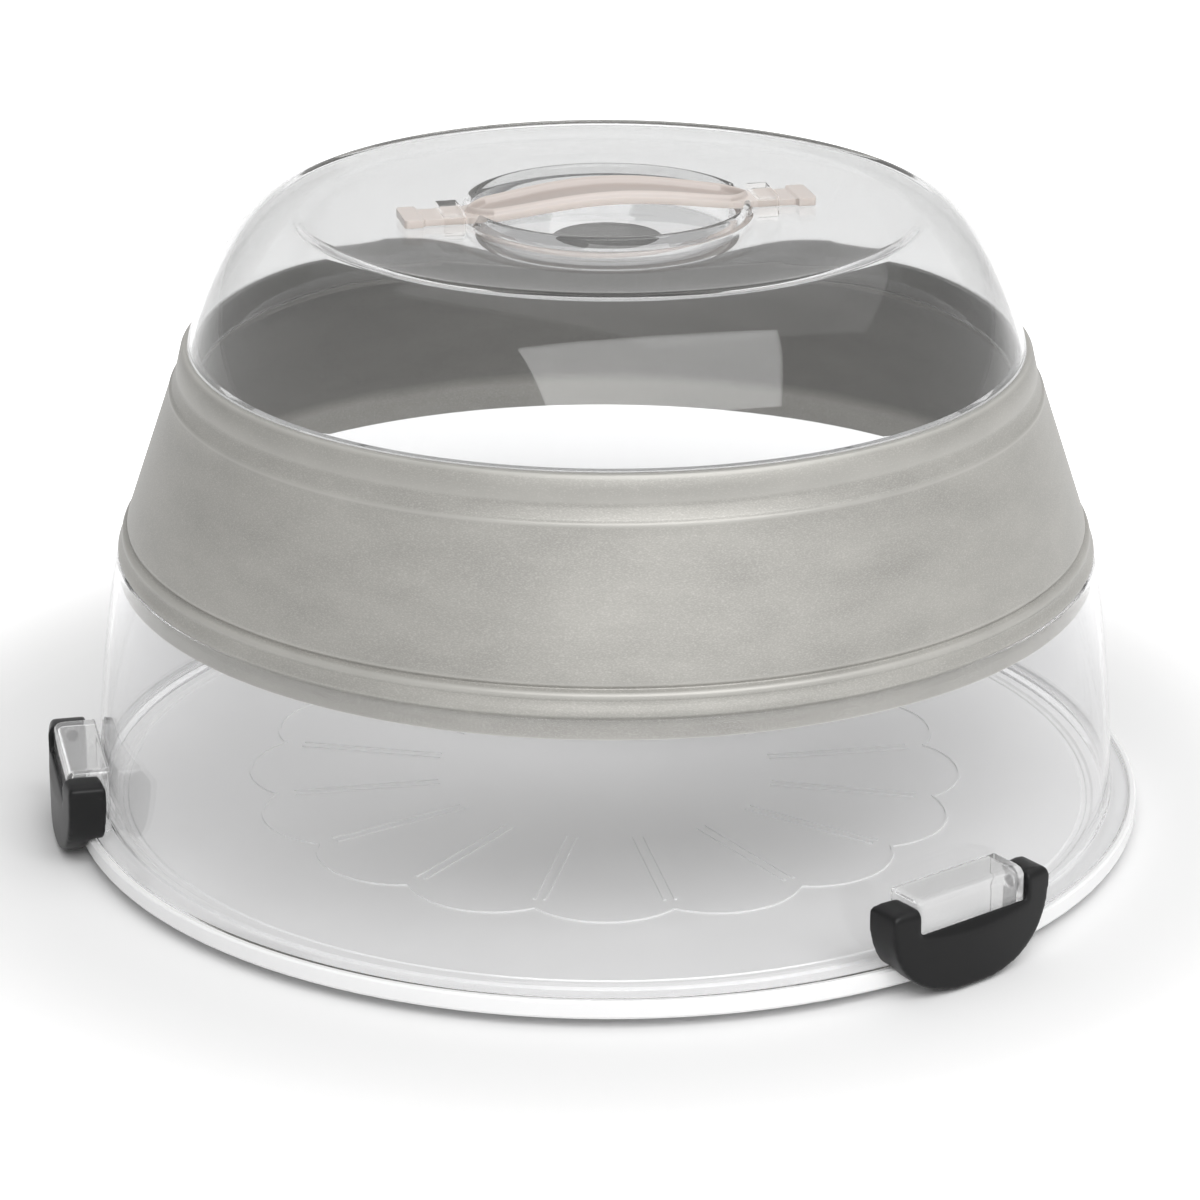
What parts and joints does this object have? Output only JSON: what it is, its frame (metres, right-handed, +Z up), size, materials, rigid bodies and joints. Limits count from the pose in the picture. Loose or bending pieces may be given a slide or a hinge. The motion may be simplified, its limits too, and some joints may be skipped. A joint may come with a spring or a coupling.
{
  "type": "cake carrier",
  "caption": "Round cake carrier: tray, clear ring with hook latches that catch the tray's rim, folding band, and clear dome with a lifting strap handle.",
  "frame": {"origin": "middle of the tray's underside, on the flat middle foot that rests on the table", "axes": "+Z up along the carrier's axis; +X to the right as the picture shows the carrier, +Y away from the viewer"},
  "size_m": [0.3573, 0.3548, 0.2078],
  "materials": {
    "tray": "glossy white",
    "clear": "clear, glossy",
    "band": "satin warm grey",
    "strap": "translucent off-white, satin",
    "latch": "black, soft sheen"
  },
  "bodies": {
    "tray": {"base_tray": "tray"},
    "lid_ring": {"lower_ring": "clear", "folding_band": "band"},
    "lid_top": {"dome": "clear", "finger_well": "clear", "keeper_left": "clear", "keeper_right": "clear"},
    "handle": {"handle_grip": "strap", "strap_left": "strap", "strap_right": "strap"},
    "strap_end_left": {"strap_end_left": "strap"},
    "strap_end_right": {"strap_end_right": "strap"},
    "latch_right": {"latch_right": "latch"},
    "latch_back": {"latch_back": "latch"},
    "latch_left": {"latch_left": "latch"}
  },
  "joints": [
    {"name": "lid_lift", "type": "slide", "parent": "tray", "child": "lid_ring", "axis": [0, 0, 1], "range_m": [0, 0.25]},
    {"name": "collapse", "type": "slide", "parent": "lid_ring", "child": "lid_top", "axis": [0, 0, -1], "range_m": [0, 0.0928], "deforming": ["folding_band"]},
    {"name": "latch_right_hinge", "type": "hinge", "parent": "lid_ring", "child": "latch_right", "pos_m": [0.10568, -0.13773, 0.026], "axis": [-0.7934, -0.6088, 0], "range_deg": [0, 105]},
    {"name": "latch_back_hinge", "type": "hinge", "parent": "lid_ring", "child": "latch_back", "pos_m": [0.05866, 0.16339, 0.026], "axis": [0.9412, -0.3379, 0], "range_deg": [0, 105]},
    {"name": "latch_left_hinge", "type": "hinge", "parent": "lid_ring", "child": "latch_left", "pos_m": [-0.16915, -0.03905, 0.026], "axis": [-0.225, 0.9744, 0], "range_deg": [0, 105]},
    {"name": "handle_lift", "type": "slide", "parent": "lid_top", "child": "handle", "axis": [0, 0, 1], "range_m": [0, 0.014], "deforming": ["strap_left", "strap_right"]},
    {"name": "strap_end_left_slide", "type": "slide", "parent": "handle", "child": "strap_end_left", "axis": [0.3838, 0.0886, -0.9191], "range_m": [0, 0.01524]},
    {"name": "strap_end_right_slide", "type": "slide", "parent": "handle", "child": "strap_end_right", "axis": [-0.3838, -0.0886, -0.9191], "range_m": [0, 0.01524]}
  ],
  "couplings": [
    {"joint": "strap_end_left_slide", "follows": "handle_lift", "ratio": 1.088},
    {"joint": "strap_end_right_slide", "follows": "handle_lift", "ratio": 1.088}
  ]
}
